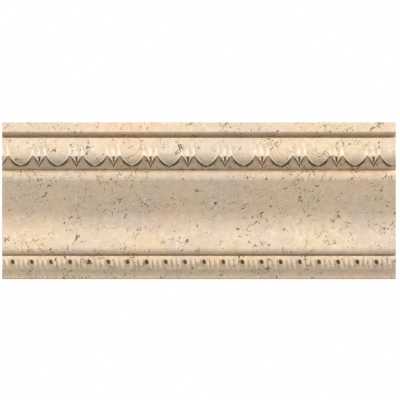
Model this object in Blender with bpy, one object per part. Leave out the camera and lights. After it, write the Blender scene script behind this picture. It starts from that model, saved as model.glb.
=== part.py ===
"""A ceiling cornice moulding carved from one block of travertine.

From the top down it has a square fillet, a bold ovolo carved with egg and dart, a rolled fillet,
a long sloping cyma, an astragal carved with bead and reel, and a chamfered foot.

X runs along the moulding, -Y points into the room and Z is up. The origin is the middle of the
flat back that lies against the wall. In the profile, "out" is the distance from the wall and
"drop" is the distance below the flat top that lies against the ceiling.
"""

import math

import bmesh
import bpy
from mathutils import Matrix

MM = 0.001

# Overall size of the block
LENGTH = 300.0 * MM
HEIGHT = 119.6 * MM
PROJECTION = 68.0 * MM

# Drops of the lines between the bands
FILLET_DROP = 7.8 * MM
COVE_DROP = 9.25 * MM
RECESS_TOP_DROP = 9.7 * MM
RECESS_STEP_DROP = 11.0 * MM
QUIRK_DROP = 11.9 * MM
LEDGE_DROP = 12.8 * MM
LEDGE_FRONT_DROP = 14.3 * MM
SHOULDER_DROP = 24.6 * MM
GROUND_FOOT_DROP = 36.05 * MM
ROLL_DROP = 39.0 * MM
CYMA_HOLLOW_DROP = 67.2 * MM
CYMA_FACE_DROP = 86.8 * MM
CYMA_TURN_DROP = 94.4 * MM
CYMA_FOOT_DROP = 100.9 * MM
ASTRAGAL_QUIRK_DROP = 101.7 * MM
ASTRAGAL_DROP = 102.0 * MM
ASTRAGAL_TURN_DROP = 106.4 * MM
ASTRAGAL_BEND_DROP = 109.0 * MM
ASTRAGAL_FOOT_DROP = 113.0 * MM
LINE_FALL = 0.15 * MM

# How far the bands stand out from the wall
COVE_OUT = 64.4 * MM
RECESS_OUT = 59.9 * MM
RECESS_DEEP_OUT = 58.2 * MM
FACE_OUT = 63.8 * MM
GROUND_FOOT_OUT = 48.8 * MM
GROUND_NOTCH_OUT = 47.7 * MM
ROLL_OUT = 51.5 * MM
CYMA_NOSE_REACH = 5.2 * MM
CYMA_QUIRK_OUT = 17.4 * MM
ASTRAGAL_OUT = 20.6 * MM
ASTRAGAL_BEND_OUT = 19.9 * MM
ASTRAGAL_FOOT_OUT = 17.0 * MM
FOOT_TOP_OUT = 16.2 * MM
FOOT_OUT = 13.0 * MM
FOOT_ARRIS = 0.5 * MM

# Slopes: distance out for each unit of drop
CYMA_SLOPE = 0.775
GROUND_SLOPE = 1.2
DART_SLOPE = 0.62

# Curves of the roll, above its crest and below it, where it runs on into the cyma's slope
ROLL_RISE = 2.65 * MM
ROLL_REACH = 7.0 * MM
ROLL_FALL = 9.0 * MM
ROLL_TOP_TURN = -84.0
ROLL_NEXT_TURN = 12.0
ROLL_END_TURN = 45.4

# Egg and dart: the repeat, and the lower edge that hangs in front of the sloping ground
EGG_PITCH = 28.3 * MM
EGG_BOTTOM_DROP = 32.85 * MM
EGG_TURN_DROP = 22.4 * MM
EGG_TURN = 10.1 * MM
EGG_LAST_TURN = 0.97
CUSP_DROP = 25.1 * MM
DART_HALF_WIDTH = 5.08 * MM
DART_TIP_DROP = 31.9 * MM
DART_FLARE = 0.06 / MM
DART_SINK = 0.2 * MM
COLUMNS_ACROSS = (0.0, 1.3 * MM, 3.2 * MM, 4.9 * MM, 6.4 * MM, 8.2 * MM, 10.8 * MM)
UPPER_DROPS = (QUIRK_DROP, 17.2 * MM, 19.8 * MM, 22.4 * MM, 24.6 * MM)
LOWER_SHARES = (0.2, 0.45, 0.7, 0.88, 1.0)
BURIED = 2.0 * MM

# The three flutes at each dart, which sweep outward toward their lower ends
FLUTE_START_DROP = 19.8 * MM
FLUTE_END_DROP = 25.2 * MM
FLUTE_RISE = 1.8 * MM
FLUTE_SINK = 0.35 * MM
FLUTE_TOP_WIDTH = 1.4 * MM
FLUTE_END_WIDTH = 2.6 * MM
FLUTE_LEAN = 0.7 * MM
FLUTE_FADE = 2.0 * MM
MIDDLE_FLUTE_END_DROP = 26.0 * MM
SLOT_TOP_DROP = 26.2 * MM
SLOT_LENGTH = 4.4 * MM
SLOT_WIDTH = 1.7 * MM
SLOT_FLOOR_OUT = 58.0 * MM
SLOT_CUT = 9.0 * MM

# Bead and reel
BEAD_PITCH = 14.59 * MM
FIRST_BEAD = 8.5 * MM
BEAD_DROP = 106.7 * MM
BEAD_RADII = (3.7 * MM, 3.05 * MM, 3.2 * MM)
BEAD_CENTRE_OUT = 20.2 * MM
REEL_RADII = (1.8 * MM, 3.1 * MM, 2.5 * MM)
REEL_CENTRE_OUT = 19.6 * MM
REEL_OFFSETS = (5.5 * MM, 9.09 * MM)
BOSS_SIDES = 12
BEAD_RINGS = 8
REEL_RINGS = 4
EYE_WIDTH = 2.7 * MM
EYE_HEIGHT = 4.0 * MM
EYE_SLANT = -38.0
EYE_FLOOR_OUT = 14.5 * MM
EYE_OFFSET = -0.3 * MM
EYE_SIDES = 8
EYE_CUT = 12.0 * MM

# Material that runs past each end before the ends are cut square
OVERRUN = 3.0 * MM

STONE_COLOUR = (0.82, 0.66, 0.49, 1.0)
STONE_ROUGHNESS = 0.45


def clear_scene():
    for thing in list(bpy.data.objects):
        bpy.data.objects.remove(thing, do_unlink=True)


def stone_material():
    material = bpy.data.materials.new("travertine")
    material.use_nodes = True
    shader = material.node_tree.nodes["Principled BSDF"]
    shader.inputs["Base Color"].default_value = STONE_COLOUR
    shader.inputs["Roughness"].default_value = STONE_ROUGHNESS
    shader.inputs["Metallic"].default_value = 0.0
    material.diffuse_color = STONE_COLOUR
    return material


def place(x, out, drop):
    """Turns a place on the profile into a point in space."""
    return (x, -out, HEIGHT / 2.0 - drop)


def blend(start, end, part):
    return start + (end - start) * part


def arc(centre_out, centre_drop, reach, fall, start, end, steps):
    """Points (out, drop) on an ellipse; 0 degrees points out and 90 degrees points down."""
    points = []
    for step in range(steps + 1):
        angle = math.radians(blend(start, end, step / steps))
        points.append((centre_out + reach * math.cos(angle), centre_drop + fall * math.sin(angle)))
    return points


def ground_out(drop):
    """The sloping ground behind the eggs and darts."""
    return GROUND_FOOT_OUT + GROUND_SLOPE * (GROUND_FOOT_DROP - drop)


def cyma(steps):
    """The steady slope, its hollow down to an upright face, and the turned nose."""
    turn = math.radians(ROLL_END_TURN)
    slope_out = ROLL_OUT - ROLL_REACH * (1.0 - math.cos(turn))
    slope_drop = ROLL_DROP + ROLL_FALL * math.sin(turn)
    hollow_out = slope_out - CYMA_SLOPE * (CYMA_HOLLOW_DROP - slope_drop)
    lean = math.degrees(math.atan(CYMA_SLOPE))
    radius = (CYMA_FACE_DROP - CYMA_HOLLOW_DROP) / math.sin(math.radians(lean))
    face_out = hollow_out - radius * (1.0 - math.cos(math.radians(lean)))
    points = arc(face_out + radius, CYMA_FACE_DROP, radius, radius, 180.0 + lean, 180.0, steps)
    nose_fall = CYMA_FOOT_DROP - CYMA_TURN_DROP
    points += arc(
        face_out - CYMA_NOSE_REACH, CYMA_TURN_DROP, CYMA_NOSE_REACH, nose_fall, 0.0, 90.0, 6
    )
    return points


def block_profile():
    """The section of the block behind the carving, from the wall round the front and back."""
    points = [(0.0, 0.0), (PROJECTION, 0.0), (PROJECTION, FILLET_DROP), (COVE_OUT, COVE_DROP)]
    points += [(RECESS_OUT, RECESS_TOP_DROP), (RECESS_DEEP_OUT, RECESS_STEP_DROP)]
    shoulder_out = ground_out(SHOULDER_DROP)
    points += [(RECESS_DEEP_OUT, LEDGE_DROP), (shoulder_out, LEDGE_FRONT_DROP)]
    points += [(shoulder_out, SHOULDER_DROP), (GROUND_FOOT_OUT, GROUND_FOOT_DROP)]
    points += [(GROUND_NOTCH_OUT, GROUND_FOOT_DROP + LINE_FALL)]
    roll_depth = ROLL_OUT - GROUND_FOOT_OUT
    points += arc(GROUND_FOOT_OUT, ROLL_DROP, roll_depth, ROLL_RISE, ROLL_TOP_TURN, 0.0, 5)
    points += arc(
        ROLL_OUT - ROLL_REACH, ROLL_DROP, ROLL_REACH, ROLL_FALL, ROLL_NEXT_TURN, ROLL_END_TURN, 3
    )
    points += cyma(8)
    points += [(CYMA_QUIRK_OUT, CYMA_FOOT_DROP + LINE_FALL)]
    points += [(CYMA_QUIRK_OUT, ASTRAGAL_QUIRK_DROP)]
    points += [(ASTRAGAL_OUT, ASTRAGAL_DROP), (ASTRAGAL_OUT, ASTRAGAL_TURN_DROP)]
    points += [(ASTRAGAL_BEND_OUT, ASTRAGAL_BEND_DROP), (ASTRAGAL_FOOT_OUT, ASTRAGAL_FOOT_DROP)]
    points += [(FOOT_TOP_OUT, ASTRAGAL_FOOT_DROP + LINE_FALL)]
    points += [(FOOT_OUT, HEIGHT - FOOT_ARRIS), (FOOT_OUT - FOOT_ARRIS, HEIGHT), (0.0, HEIGHT)]
    return points


def make_object(name, mesh_data, material):
    mesh = bpy.data.meshes.new(name)
    bmesh.ops.recalc_face_normals(mesh_data, faces=mesh_data.faces)
    mesh_data.to_mesh(mesh)
    mesh_data.free()
    thing = bpy.data.objects.new(name, mesh)
    bpy.context.collection.objects.link(thing)
    thing.data.materials.append(material)
    return thing


def guide(name, mesh_data, material):
    """An object that only shapes the block, so it isn't a piece itself."""
    thing = make_object(name, mesh_data, material)
    thing.hide_render = True
    thing.display_type = "WIRE"
    return thing


def block(material):
    """The profile extruded along the length."""
    start = -LENGTH / 2.0 - OVERRUN
    shape = bmesh.new()
    corners = [shape.verts.new(place(start, out, drop)) for out, drop in block_profile()]
    face = shape.faces.new(corners)
    grown = bmesh.ops.extrude_face_region(shape, geom=[face])
    moved = [item for item in grown["geom"] if isinstance(item, bmesh.types.BMVert)]
    bmesh.ops.translate(shape, verts=moved, vec=(LENGTH + 2.0 * OVERRUN, 0.0, 0.0))
    return make_object("cornice_moulding", shape, material)


def edge_drop(across):
    """Drop of the scalloped lower edge, by the distance from the dart's middle."""
    half = EGG_PITCH / 2.0
    sag = (EGG_BOTTOM_DROP - CUSP_DROP) / (half - DART_HALF_WIDTH) ** 2
    fall = (DART_TIP_DROP - CUSP_DROP) / DART_HALF_WIDTH + DART_FLARE * DART_HALF_WIDTH
    egg_drop = EGG_BOTTOM_DROP - sag * (half - across) ** 2
    dart_drop = DART_TIP_DROP - fall * across + DART_FLARE * across * across
    return max(egg_drop, dart_drop)


def share_between(start, end, value):
    """0 before the start, 1 past the end, and a steady rise between."""
    return min(1.0, max(0.0, (value - start) / (end - start)))


def flute_height(across, drop):
    """The flutes sink a little, then sweep outward, and stop short at their lower ends."""
    line = DART_HALF_WIDTH - FLUTE_LEAN * (1.0 - share_between(FLUTE_START_DROP, CUSP_DROP, drop))
    swept = share_between(FLUTE_START_DROP, FLUTE_END_DROP, drop)
    width = blend(FLUTE_TOP_WIDTH, FLUTE_END_WIDTH, swept)
    side = max(0.0, 1.0 - abs(across - line) / width)
    side *= 1.0 - share_between(CUSP_DROP, CUSP_DROP + FLUTE_FADE, drop)
    middle = 1.0 if across == 0.0 and drop < MIDDLE_FLUTE_END_DROP else 0.0
    sunk = share_between(QUIRK_DROP, UPPER_DROPS[1], drop) * (1.0 - swept)
    return max(side, middle) * (FLUTE_RISE * swept - FLUTE_SINK * sunk)


def face_out(across, drop):
    """The upright face: each egg turns under toward its foot, and each dart leans back."""
    if across > DART_HALF_WIDTH:
        turn = share_between(EGG_TURN_DROP, EGG_TURN_DROP + EGG_TURN, drop)
        turn = min(EGG_LAST_TURN, turn)
        return FACE_OUT - EGG_TURN * (1.0 - math.sqrt(1.0 - turn * turn))
    sunk = DART_SINK * share_between(QUIRK_DROP, UPPER_DROPS[1], drop)
    return FACE_OUT - sunk - DART_SLOPE * max(0.0, drop - CUSP_DROP)


def carving_section(x, across):
    """One closed section of the hanging face; its back lies buried in the block."""
    edge = edge_drop(across)
    drops = list(UPPER_DROPS)
    drops += [blend(UPPER_DROPS[-1], edge, share) for share in LOWER_SHARES]
    points = [(RECESS_DEEP_OUT - BURIED, QUIRK_DROP)]
    points += [(face_out(across, drop) + flute_height(across, drop), drop) for drop in drops]
    points += [(ground_out(edge) - BURIED, edge)]
    return [place(x, out, drop) for out, drop in points]


def carving_places():
    """Every column of the band: its place, and its distance from the nearest dart's middle."""
    near = list(COLUMNS_ACROSS) + [EGG_PITCH / 2.0]
    unit = [(across, across) for across in near]
    unit += [(EGG_PITCH - across, across) for across in near[-2:0:-1]]
    places = []
    for repeat in range(-1, math.ceil(LENGTH / EGG_PITCH) + 1):
        for along, across in unit:
            x = -LENGTH / 2.0 + repeat * EGG_PITCH + along
            if abs(x) < LENGTH / 2.0 + OVERRUN:
                places.append((x, across))
    return places


def egg_and_dart(material):
    """Sections bridged one to the next, and closed at both ends."""
    shape = bmesh.new()
    loops = []
    for x, across in carving_places():
        loops.append([shape.verts.new(point) for point in carving_section(x, across)])
    count = len(loops[0])
    for near, far in zip(loops, loops[1:]):
        for corner in range(count):
            after = (corner + 1) % count
            shape.faces.new((near[corner], near[after], far[after], far[corner]))
    shape.faces.new(loops[0])
    shape.faces.new(loops[-1])
    return guide("egg_and_dart_band", shape, material)


def turn_upright(shape, verts, wide, tall):
    """Turns a new upright bar to point into the room, and gives it a width and a height."""
    turn = Matrix.Rotation(-math.pi / 2.0, 3, "X")
    bmesh.ops.rotate(shape, verts=verts, cent=(0.0, 0.0, 0.0), matrix=turn)
    bmesh.ops.scale(shape, verts=verts, vec=(wide, 1.0, tall))


def dart_slots(material):
    """The narrow slot below the middle flute of each dart: a three-sided cut, point down."""
    shape = bmesh.new()
    for repeat in range(math.ceil(LENGTH / EGG_PITCH)):
        made = bmesh.ops.create_cone(
            shape, cap_ends=True, segments=3, radius1=1.0, radius2=1.0, depth=SLOT_CUT
        )
        turn_upright(shape, made["verts"], SLOT_WIDTH / math.sqrt(3.0), SLOT_LENGTH / 1.5)
        x = -LENGTH / 2.0 + repeat * EGG_PITCH
        spot = place(x, SLOT_FLOOR_OUT + SLOT_CUT / 2.0, SLOT_TOP_DROP + SLOT_LENGTH / 3.0)
        bmesh.ops.translate(shape, verts=made["verts"], vec=spot)
    return guide("dart_slots", shape, material)


def bead_places():
    count = math.ceil(LENGTH / BEAD_PITCH) + 1
    places = []
    for bead in range(-1, count):
        places.append(-LENGTH / 2.0 + FIRST_BEAD + bead * BEAD_PITCH)
    return places


def add_boss(shape, x, out, radii, around, rings):
    """An egg-shaped boss half sunk in the astragal, with its poles along the moulding."""
    made = bmesh.ops.create_uvsphere(shape, u_segments=around, v_segments=rings, radius=1.0)
    wide, tall, deep = radii
    turn = Matrix.Rotation(math.pi / 2.0, 3, "Y")
    bmesh.ops.rotate(shape, verts=made["verts"], cent=(0.0, 0.0, 0.0), matrix=turn)
    bmesh.ops.scale(shape, verts=made["verts"], vec=(wide, deep, tall))
    bmesh.ops.translate(shape, verts=made["verts"], vec=place(x, out, BEAD_DROP))


def beads_and_reels(material):
    shape = bmesh.new()
    for x in bead_places():
        add_boss(shape, x, BEAD_CENTRE_OUT, BEAD_RADII, BOSS_SIDES, BEAD_RINGS)
        for offset in REEL_OFFSETS:
            add_boss(shape, x + offset, REEL_CENTRE_OUT, REEL_RADII, BOSS_SIDES, REEL_RINGS)
    return guide("beads_and_reels", shape, material)


def bead_eyes(material):
    """The drilled eye of each bead: a slanting oval hole."""
    shape = bmesh.new()
    for x in bead_places():
        made = bmesh.ops.create_cone(
            shape, cap_ends=True, segments=EYE_SIDES, radius1=0.5, radius2=0.5, depth=EYE_CUT
        )
        turn_upright(shape, made["verts"], EYE_WIDTH, EYE_HEIGHT)
        lean = Matrix.Rotation(math.radians(EYE_SLANT), 3, "Y")
        bmesh.ops.rotate(shape, verts=made["verts"], cent=(0.0, 0.0, 0.0), matrix=lean)
        spot = place(x + EYE_OFFSET, EYE_FLOOR_OUT + EYE_CUT / 2.0, BEAD_DROP)
        bmesh.ops.translate(shape, verts=made["verts"], vec=spot)
    return guide("bead_eyes", shape, material)


def cut_length(material):
    """The box that keeps the length shown, with both ends cut square."""
    shape = bmesh.new()
    made = bmesh.ops.create_cube(shape, size=1.0)
    bmesh.ops.scale(shape, verts=made["verts"], vec=(LENGTH, 4.0 * PROJECTION, 2.0 * HEIGHT))
    return guide("cut_to_length", shape, material)


def combine(thing, other, operation):
    step = thing.modifiers.new(other.name, "BOOLEAN")
    step.object = other
    step.operation = operation
    step.solver = "EXACT"


def main():
    clear_scene()
    stone = stone_material()
    moulding = block(stone)
    combine(moulding, egg_and_dart(stone), "UNION")
    combine(moulding, dart_slots(stone), "DIFFERENCE")
    combine(moulding, beads_and_reels(stone), "UNION")
    combine(moulding, bead_eyes(stone), "DIFFERENCE")
    combine(moulding, cut_length(stone), "INTERSECT")


main()
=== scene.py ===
"""One length of carved travertine cornice in a plain studio, laid out as a Blender add-on.

X runs along the cornice, -Y points into the room and Z is up. On the section of the cornice, "out"
is the distance from the wall and "drop" is the distance below the flat top.
"""

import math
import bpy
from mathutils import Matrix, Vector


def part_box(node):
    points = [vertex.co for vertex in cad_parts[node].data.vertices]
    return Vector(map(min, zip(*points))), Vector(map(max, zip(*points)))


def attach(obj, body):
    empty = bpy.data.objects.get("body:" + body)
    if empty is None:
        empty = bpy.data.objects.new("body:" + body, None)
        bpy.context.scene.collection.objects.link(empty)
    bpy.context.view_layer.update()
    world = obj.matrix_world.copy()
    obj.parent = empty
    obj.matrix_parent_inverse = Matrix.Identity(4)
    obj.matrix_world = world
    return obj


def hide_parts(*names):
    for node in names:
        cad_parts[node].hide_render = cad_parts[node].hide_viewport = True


bl_info = {
    "name": "Carved travertine cornice",
    "version": (1, 0, 0),
    "blender": (4, 5, 0),
    "location": "View3D > Sidebar > Cornice",
    "description": "Models a length of egg-and-dart cornice and its studio",
    "category": "Add Mesh",
}

import bmesh
import bpy
import numpy as np
from bpy.props import FloatProperty, FloatVectorProperty, PointerProperty
from mathutils import Vector

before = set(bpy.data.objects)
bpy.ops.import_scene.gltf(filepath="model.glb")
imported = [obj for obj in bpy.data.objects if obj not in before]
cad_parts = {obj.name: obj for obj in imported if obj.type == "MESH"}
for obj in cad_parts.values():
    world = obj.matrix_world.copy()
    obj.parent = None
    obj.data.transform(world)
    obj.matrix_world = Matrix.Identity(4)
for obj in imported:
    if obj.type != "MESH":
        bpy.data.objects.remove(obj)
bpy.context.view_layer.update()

MM = 0.001
NODE = "cornice_moulding"
LOW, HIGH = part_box(NODE)
LENGTH = HIGH.x - LOW.x
HEIGHT = HIGH.z - LOW.z
PROJECTION = HIGH.y - LOW.y

# Drops of the lines between the bands
FILLET_DROP = 7.7 * MM
QUIRK_DROP = 12.0 * MM
GROUND_FOOT_DROP = 36.05 * MM
ROLL_TOP_DROP = 36.25 * MM
ROLL_DROP = 39.95 * MM
CYMA_HOLLOW_DROP = 67.2 * MM
CYMA_FACE_DROP = 86.8 * MM
CYMA_TURN_DROP = 95.1 * MM
CYMA_FOOT_DROP = 100.9 * MM
ASTRAGAL_DROP = 102.05 * MM
ASTRAGAL_TURN_DROP = 105.5 * MM
ASTRAGAL_FOOT_DROP = 113.0 * MM

# How far the bands stand out from the wall
QUIRK_OUT = 59.9 * MM
FACE_OUT = 63.8 * MM
GROUND_FOOT_OUT = 48.8 * MM
GROUND_NOTCH_OUT = 47.7 * MM
ROLL_OUT = 51.5 * MM
CYMA_NOSE_REACH = 5.2 * MM
CYMA_QUIRK_OUT = 18.7 * MM
ASTRAGAL_OUT = 21.9 * MM
FOOT_TOP_OUT = 17.2 * MM
FOOT_OUT = 13.5 * MM

# Corners (out, drop) of the recess cut in under the fillet
RECESS_CORNERS = [
    (64.6 * MM, 9.2 * MM), (64.3 * MM, 9.3 * MM), (60.3 * MM, 9.6 * MM),
    (QUIRK_OUT, 9.9 * MM), (QUIRK_OUT, 10.6 * MM), (QUIRK_OUT - 1.1 * MM, 10.9 * MM),
    (QUIRK_OUT - 1.4 * MM, QUIRK_DROP - 0.1 * MM),
]

# Recesses painted with dark shade, each from one drop to another
FILLET_RECESS = (9.25 * MM, 12.0 * MM)
ROLL_RECESS = (36.0 * MM, 36.3 * MM)
NOSE_RECESS = (101.0 * MM, 102.0 * MM)

# Slopes (distance out for each unit of drop) and turns
CYMA_SLOPE = 0.775
GROUND_SLOPE = 1.2
EGG_TURN_DROP = 22.4 * MM
EGG_TURN = 10.1 * MM
FACE_LEAN = 0.05
FACE_UPRIGHT_DROP = 20.0 * MM
DART_SLOPE = 0.62
ASTRAGAL_LEAN = 0.07
ASTRAGAL_SLOPE = 0.74

# Egg and dart
EGG_BOTTOM_DROP = 32.85 * MM
CUSP_DROP = 25.15 * MM
DART_HALF_WIDTH = 5.08 * MM
DART_TIP_DROP = 32.0 * MM
DART_FLARE = 0.13 / MM
EGG_CROWN = 0.45 * MM
CUSP_ROUNDING = 1.6 * MM
SLOT_TOP_DROP = 26.4 * MM
SLOT_FOOT_DROP = 30.8 * MM
SLOT_DEPTH = 4.2 * MM
SLOT_HALF_WIDTH = 0.85 * MM

# Drops over which the carving of the face comes in or dies away
CARVING_STARTS = (QUIRK_DROP, 14.0 * MM)
CROWN_SWELLS = (17.0 * MM, 25.0 * MM)
FLUTES_OPEN = (15.5 * MM, 19.8 * MM)
FLUTES_FADE = (22.0 * MM, 25.6 * MM)
MIDDLE_FLUTE_ENDS = (25.6 * MM, 26.5 * MM)
RIM_RISES = (CUSP_DROP + 1.0 * MM, CUSP_DROP + 5.5 * MM)
# Drops over which the painted highlight down the flutes comes in and dies away
HIGHLIGHT_STARTS = (18.6 * MM, 21.6 * MM)
HIGHLIGHT_ENDS = (23.4 * MM, 25.6 * MM)

# Bead and reel
BEAD_DROP = 106.7 * MM
BEAD_RADII = (3.7 * MM, 3.05 * MM)
BEAD_ROUND = 1.8 * MM
REEL_WIDTH = 1.8 * MM
REEL_ROUND = 1.2 * MM
REEL_OFFSETS = (5.5 * MM, 9.09 * MM)
CUTS_OPEN = (104.1 * MM, 106.9 * MM)
CUTS_RUN_OUT = (108.0 * MM, 112.4 * MM)
EYE_ASIDE = -0.5 * MM
EYE_SLANT = math.radians(-20.0)

# Making of the mesh
# Attribute that holds painted highlight (above 0) and painted shade (below 0)
PAINTED_LIGHT = "painted_light"
# Painted shade laid in the recesses and quirks
RECESS_SHADE = -0.4
WELD = 0.00001
STRIP_COLUMNS = 60
EDGE_ANGLE = math.radians(40.0)

# Shares in which one colour is laid over another
PALE_SHARE = 0.7
HIGHLIGHT_SHARE = 0.72
SHADE_SHARE = 0.85
VEIN_SHARE = 0.75
CURL_SHARE = 0.95
PORE_SHARE = 0.96

# Studio light, turned sideways and upward from straight in front
LIGHT_SIDEWAYS = math.radians(40.0)
LIGHT_UPWARD = math.radians(31.3)
LIGHT_SOFTNESS = math.radians(28.0)

# Picture: the cornice spans 393.7 of its 400 pixels and stands a little left of and below centre
PICTURE_WIDTH = LENGTH * 400.0 / 393.7
PICTURE_ASIDE = 0.8 * MM
PICTURE_ABOVE = 0.38 * MM
FLOOR_GAP = 0.4 * MM


def length_property(name, description, default, least):
    """A length that the user may change, in the scene's unit."""
    return FloatProperty(
        name=name, description=description, default=default, min=least,
        unit="LENGTH", subtype="DISTANCE",
    )


def colour_property(name, description, default):
    """A colour that the user may change."""
    return FloatVectorProperty(
        name=name, description=description, default=default, size=3, min=0.0, max=1.0,
        subtype="COLOR",
    )


class CorniceSizes(bpy.types.PropertyGroup):
    """Sizes of the carving that a user may change."""

    egg_pitch: length_property(
        "Egg pitch", "Distance from one egg to the next", default=28.3 * MM, least=0.01
    )
    rim_width: length_property(
        "Rim width", "Width of the raised rim round eggs and darts",
        default=0.85 * MM, least=0.0002,
    )
    rim_rise: length_property(
        "Rim rise", "How far the rim stands over the egg beside it", default=0.35 * MM, least=0.0
    )
    flute_depth: length_property(
        "Flute depth", "Depth of the three shallow flutes at each dart",
        default=0.35 * MM, least=0.0,
    )
    groove_depth: length_property(
        "Groove depth", "Depth of the undercut in the ground beside the rim",
        default=4.2 * MM, least=0.0,
    )
    bead_pitch: length_property(
        "Bead pitch", "Distance from one bead to the next", default=14.59 * MM, least=0.005
    )
    first_bead: length_property(
        "First bead", "Distance from the left end to the first bead", default=8.5 * MM, least=0.0
    )
    eye_width: length_property(
        "Eye width", "Width of the slanting hole drilled in each bead",
        default=2.8 * MM, least=0.0002,
    )
    eye_height: length_property(
        "Eye height", "Height of the slanting hole drilled in each bead",
        default=3.6 * MM, least=0.0002,
    )
    eye_floor_out: length_property(
        "Eye floor", "Distance of the hole's floor from the wall", default=17.2 * MM, least=0.002
    )


class CorniceColours(bpy.types.PropertyGroup):
    """Colours of the stone, of its painted highlights and shade, and strengths of the light."""

    cream: colour_property("Cream", "Main colour of the stone", default=(0.812, 0.637, 0.450))
    peach: colour_property("Peach", "Warm clouds in the stone", default=(0.832, 0.613, 0.426))
    straw: colour_property(
        "Straw", "Greenish cream clouds in the stone", default=(0.786, 0.643, 0.436)
    )
    mist: colour_property("Mist", "Cool grey clouds in the stone", default=(0.760, 0.612, 0.478))
    pore: colour_property("Pore", "Colour inside the open pores", default=(0.130, 0.062, 0.012))
    pale: colour_property(
        "Pale veins", "Colour of the pale healed veins", default=(0.930, 0.800, 0.650)
    )
    # Painted highlight: a paler colour laid on the flutes and edges where light falls
    painted_highlight: colour_property(
        "Painted highlight", "Colour of the painted highlights on flutes and edges", default=(0.950, 0.865, 0.700)
    )
    # Painted shade: a dark colour laid deep in the grooves, quirks and drilled eyes
    painted_shade: colour_property(
        "Painted shade", "Colour deep in the grooves and drilled holes", default=(0.460, 0.305, 0.110)
    )
    vein: colour_property("Vein", "Colour of the hairline veins", default=(0.360, 0.210, 0.110))
    floor: colour_property("Floor", "Colour of the studio floor", default=(0.800, 0.790, 0.775))
    floor_bounce: colour_property(
        "Floor bounce", "Share of its light that the floor sends back up",
        default=(0.352, 0.360, 0.360),
    )
    key: FloatProperty(
        name="Key light", description="Strength of the main light",
        default=2.25, min=0.0,
    )
    fill: FloatProperty(
        name="Fill light", description="Strength of the even light all round",
        default=0.88, min=0.0,
    )


def point(x, out, drop):
    """Turns places on the section into points in space."""
    x, out, drop = np.broadcast_arrays(x, out, drop)
    return np.stack([x, HIGH.y - out, HIGH.z - drop], axis=-1)


def ease(low, high, value):
    """0 below low, 1 above high, and an S curve between."""
    part = np.clip((value - low) / (high - low), 0.0, 1.0)
    return part * part * (3.0 - 2.0 * part)


def smooth_max(first, second, width):
    """The larger of two drops, with the crossing rounded over a width."""
    share = np.clip(0.5 + (first - second) / (2.0 * width), 0.0, 1.0)
    return second + (first - second) * share + width * share * (1.0 - share)


def lay_grid(name, columns, rows, rule, tone=None):
    """Adds a grid and moves its corners: rule(column, row) gives x, out and drop.

    tone(column, row) goes into the attribute that holds painted light: above 0 is painted
    highlight, below 0 is painted shade.
    """
    bpy.ops.object.select_all(action="DESELECT")
    bpy.ops.mesh.primitive_grid_add(x_subdivisions=columns, y_subdivisions=rows, size=1.0)
    thing = bpy.context.object
    thing.name = name
    flat = np.empty(len(thing.data.vertices) * 3)
    thing.data.vertices.foreach_get("co", flat)
    flat = flat.reshape(-1, 3)
    column = np.rint((flat[:, 0] + 0.5) * columns).astype(int)
    row = np.rint((flat[:, 1] + 0.5) * rows).astype(int)
    thing.data.vertices.foreach_set("co", point(*rule(column, row)).ravel())
    painted_light = thing.data.attributes.new(name=PAINTED_LIGHT, type="FLOAT", domain="POINT")
    if tone is not None:
        painted_light.data.foreach_set("value", np.broadcast_to(tone(column, row), row.shape).ravel())
    thing.data.update()
    return thing


def lay_strip(name, section, deep=()):
    """A plain band: a section of (out, drop) points drawn along the length.

    deep lists the (from, to) drops between which the band lies in a recess painted with shade.
    """
    outs = np.array([spot[0] for spot in section])
    drops = np.array([spot[1] for spot in section])

    def rule(column, row):
        return LOW.x + LENGTH * column / STRIP_COLUMNS, outs[row], drops[row]

    def tone(column, row):
        shade = np.zeros(len(drops))
        for start, end in deep:
            shade[(drops >= start) & (drops <= end)] = RECESS_SHADE
        return shade[row]

    return lay_grid(name, STRIP_COLUMNS, len(section) - 1, rule, tone)


def arc(centre_out, centre_drop, reach, fall, start, end, steps):
    """Points (out, drop) on an ellipse; 0 degrees points out and 90 degrees points down."""
    turn = np.radians(np.linspace(start, end, steps + 1))
    return list(zip(centre_out + reach * np.cos(turn), centre_drop + fall * np.sin(turn)))


def repeat_along(thing, pitch, count):
    """Copies a unit along the cornice, welds the copies and cuts both ends square."""
    bpy.ops.object.select_all(action="DESELECT")
    thing.select_set(True)
    bpy.context.view_layer.objects.active = thing
    bpy.ops.object.modifier_add(type="ARRAY")
    array = thing.modifiers[-1]
    array.use_relative_offset = False
    array.use_constant_offset = True
    array.constant_offset_displace = (pitch, 0.0, 0.0)
    array.count = count
    array.use_merge_vertices = True
    array.merge_threshold = WELD
    bpy.ops.object.modifier_apply(modifier=array.name)
    bpy.ops.object.mode_set(mode="EDIT")
    for end, outward in ((LOW.x, -1.0), (HIGH.x, 1.0)):
        bpy.ops.mesh.select_all(action="SELECT")
        bpy.ops.mesh.bisect(
            plane_co=(end, 0.0, 0.0), plane_no=(outward, 0.0, 0.0), clear_outer=True,
            use_fill=False, threshold=WELD / 10.0,
        )
    bpy.ops.object.mode_set(mode="OBJECT")


def join(things, name):
    """Joins pieces into one object and welds the corners that they share."""
    bpy.ops.object.select_all(action="DESELECT")
    for thing in things:
        thing.select_set(True)
    bpy.context.view_layer.objects.active = things[0]
    bpy.ops.object.join()
    whole = bpy.context.object
    whole.name = name
    bpy.ops.object.mode_set(mode="EDIT")
    bpy.ops.mesh.select_all(action="SELECT")
    bpy.ops.mesh.remove_doubles(threshold=WELD / 10.0)
    bpy.ops.object.mode_set(mode="OBJECT")
    return whole


def ground_out(drop):
    """The sloping ground behind the eggs and darts."""
    return GROUND_FOOT_OUT + GROUND_SLOPE * (GROUND_FOOT_DROP - drop)


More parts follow.
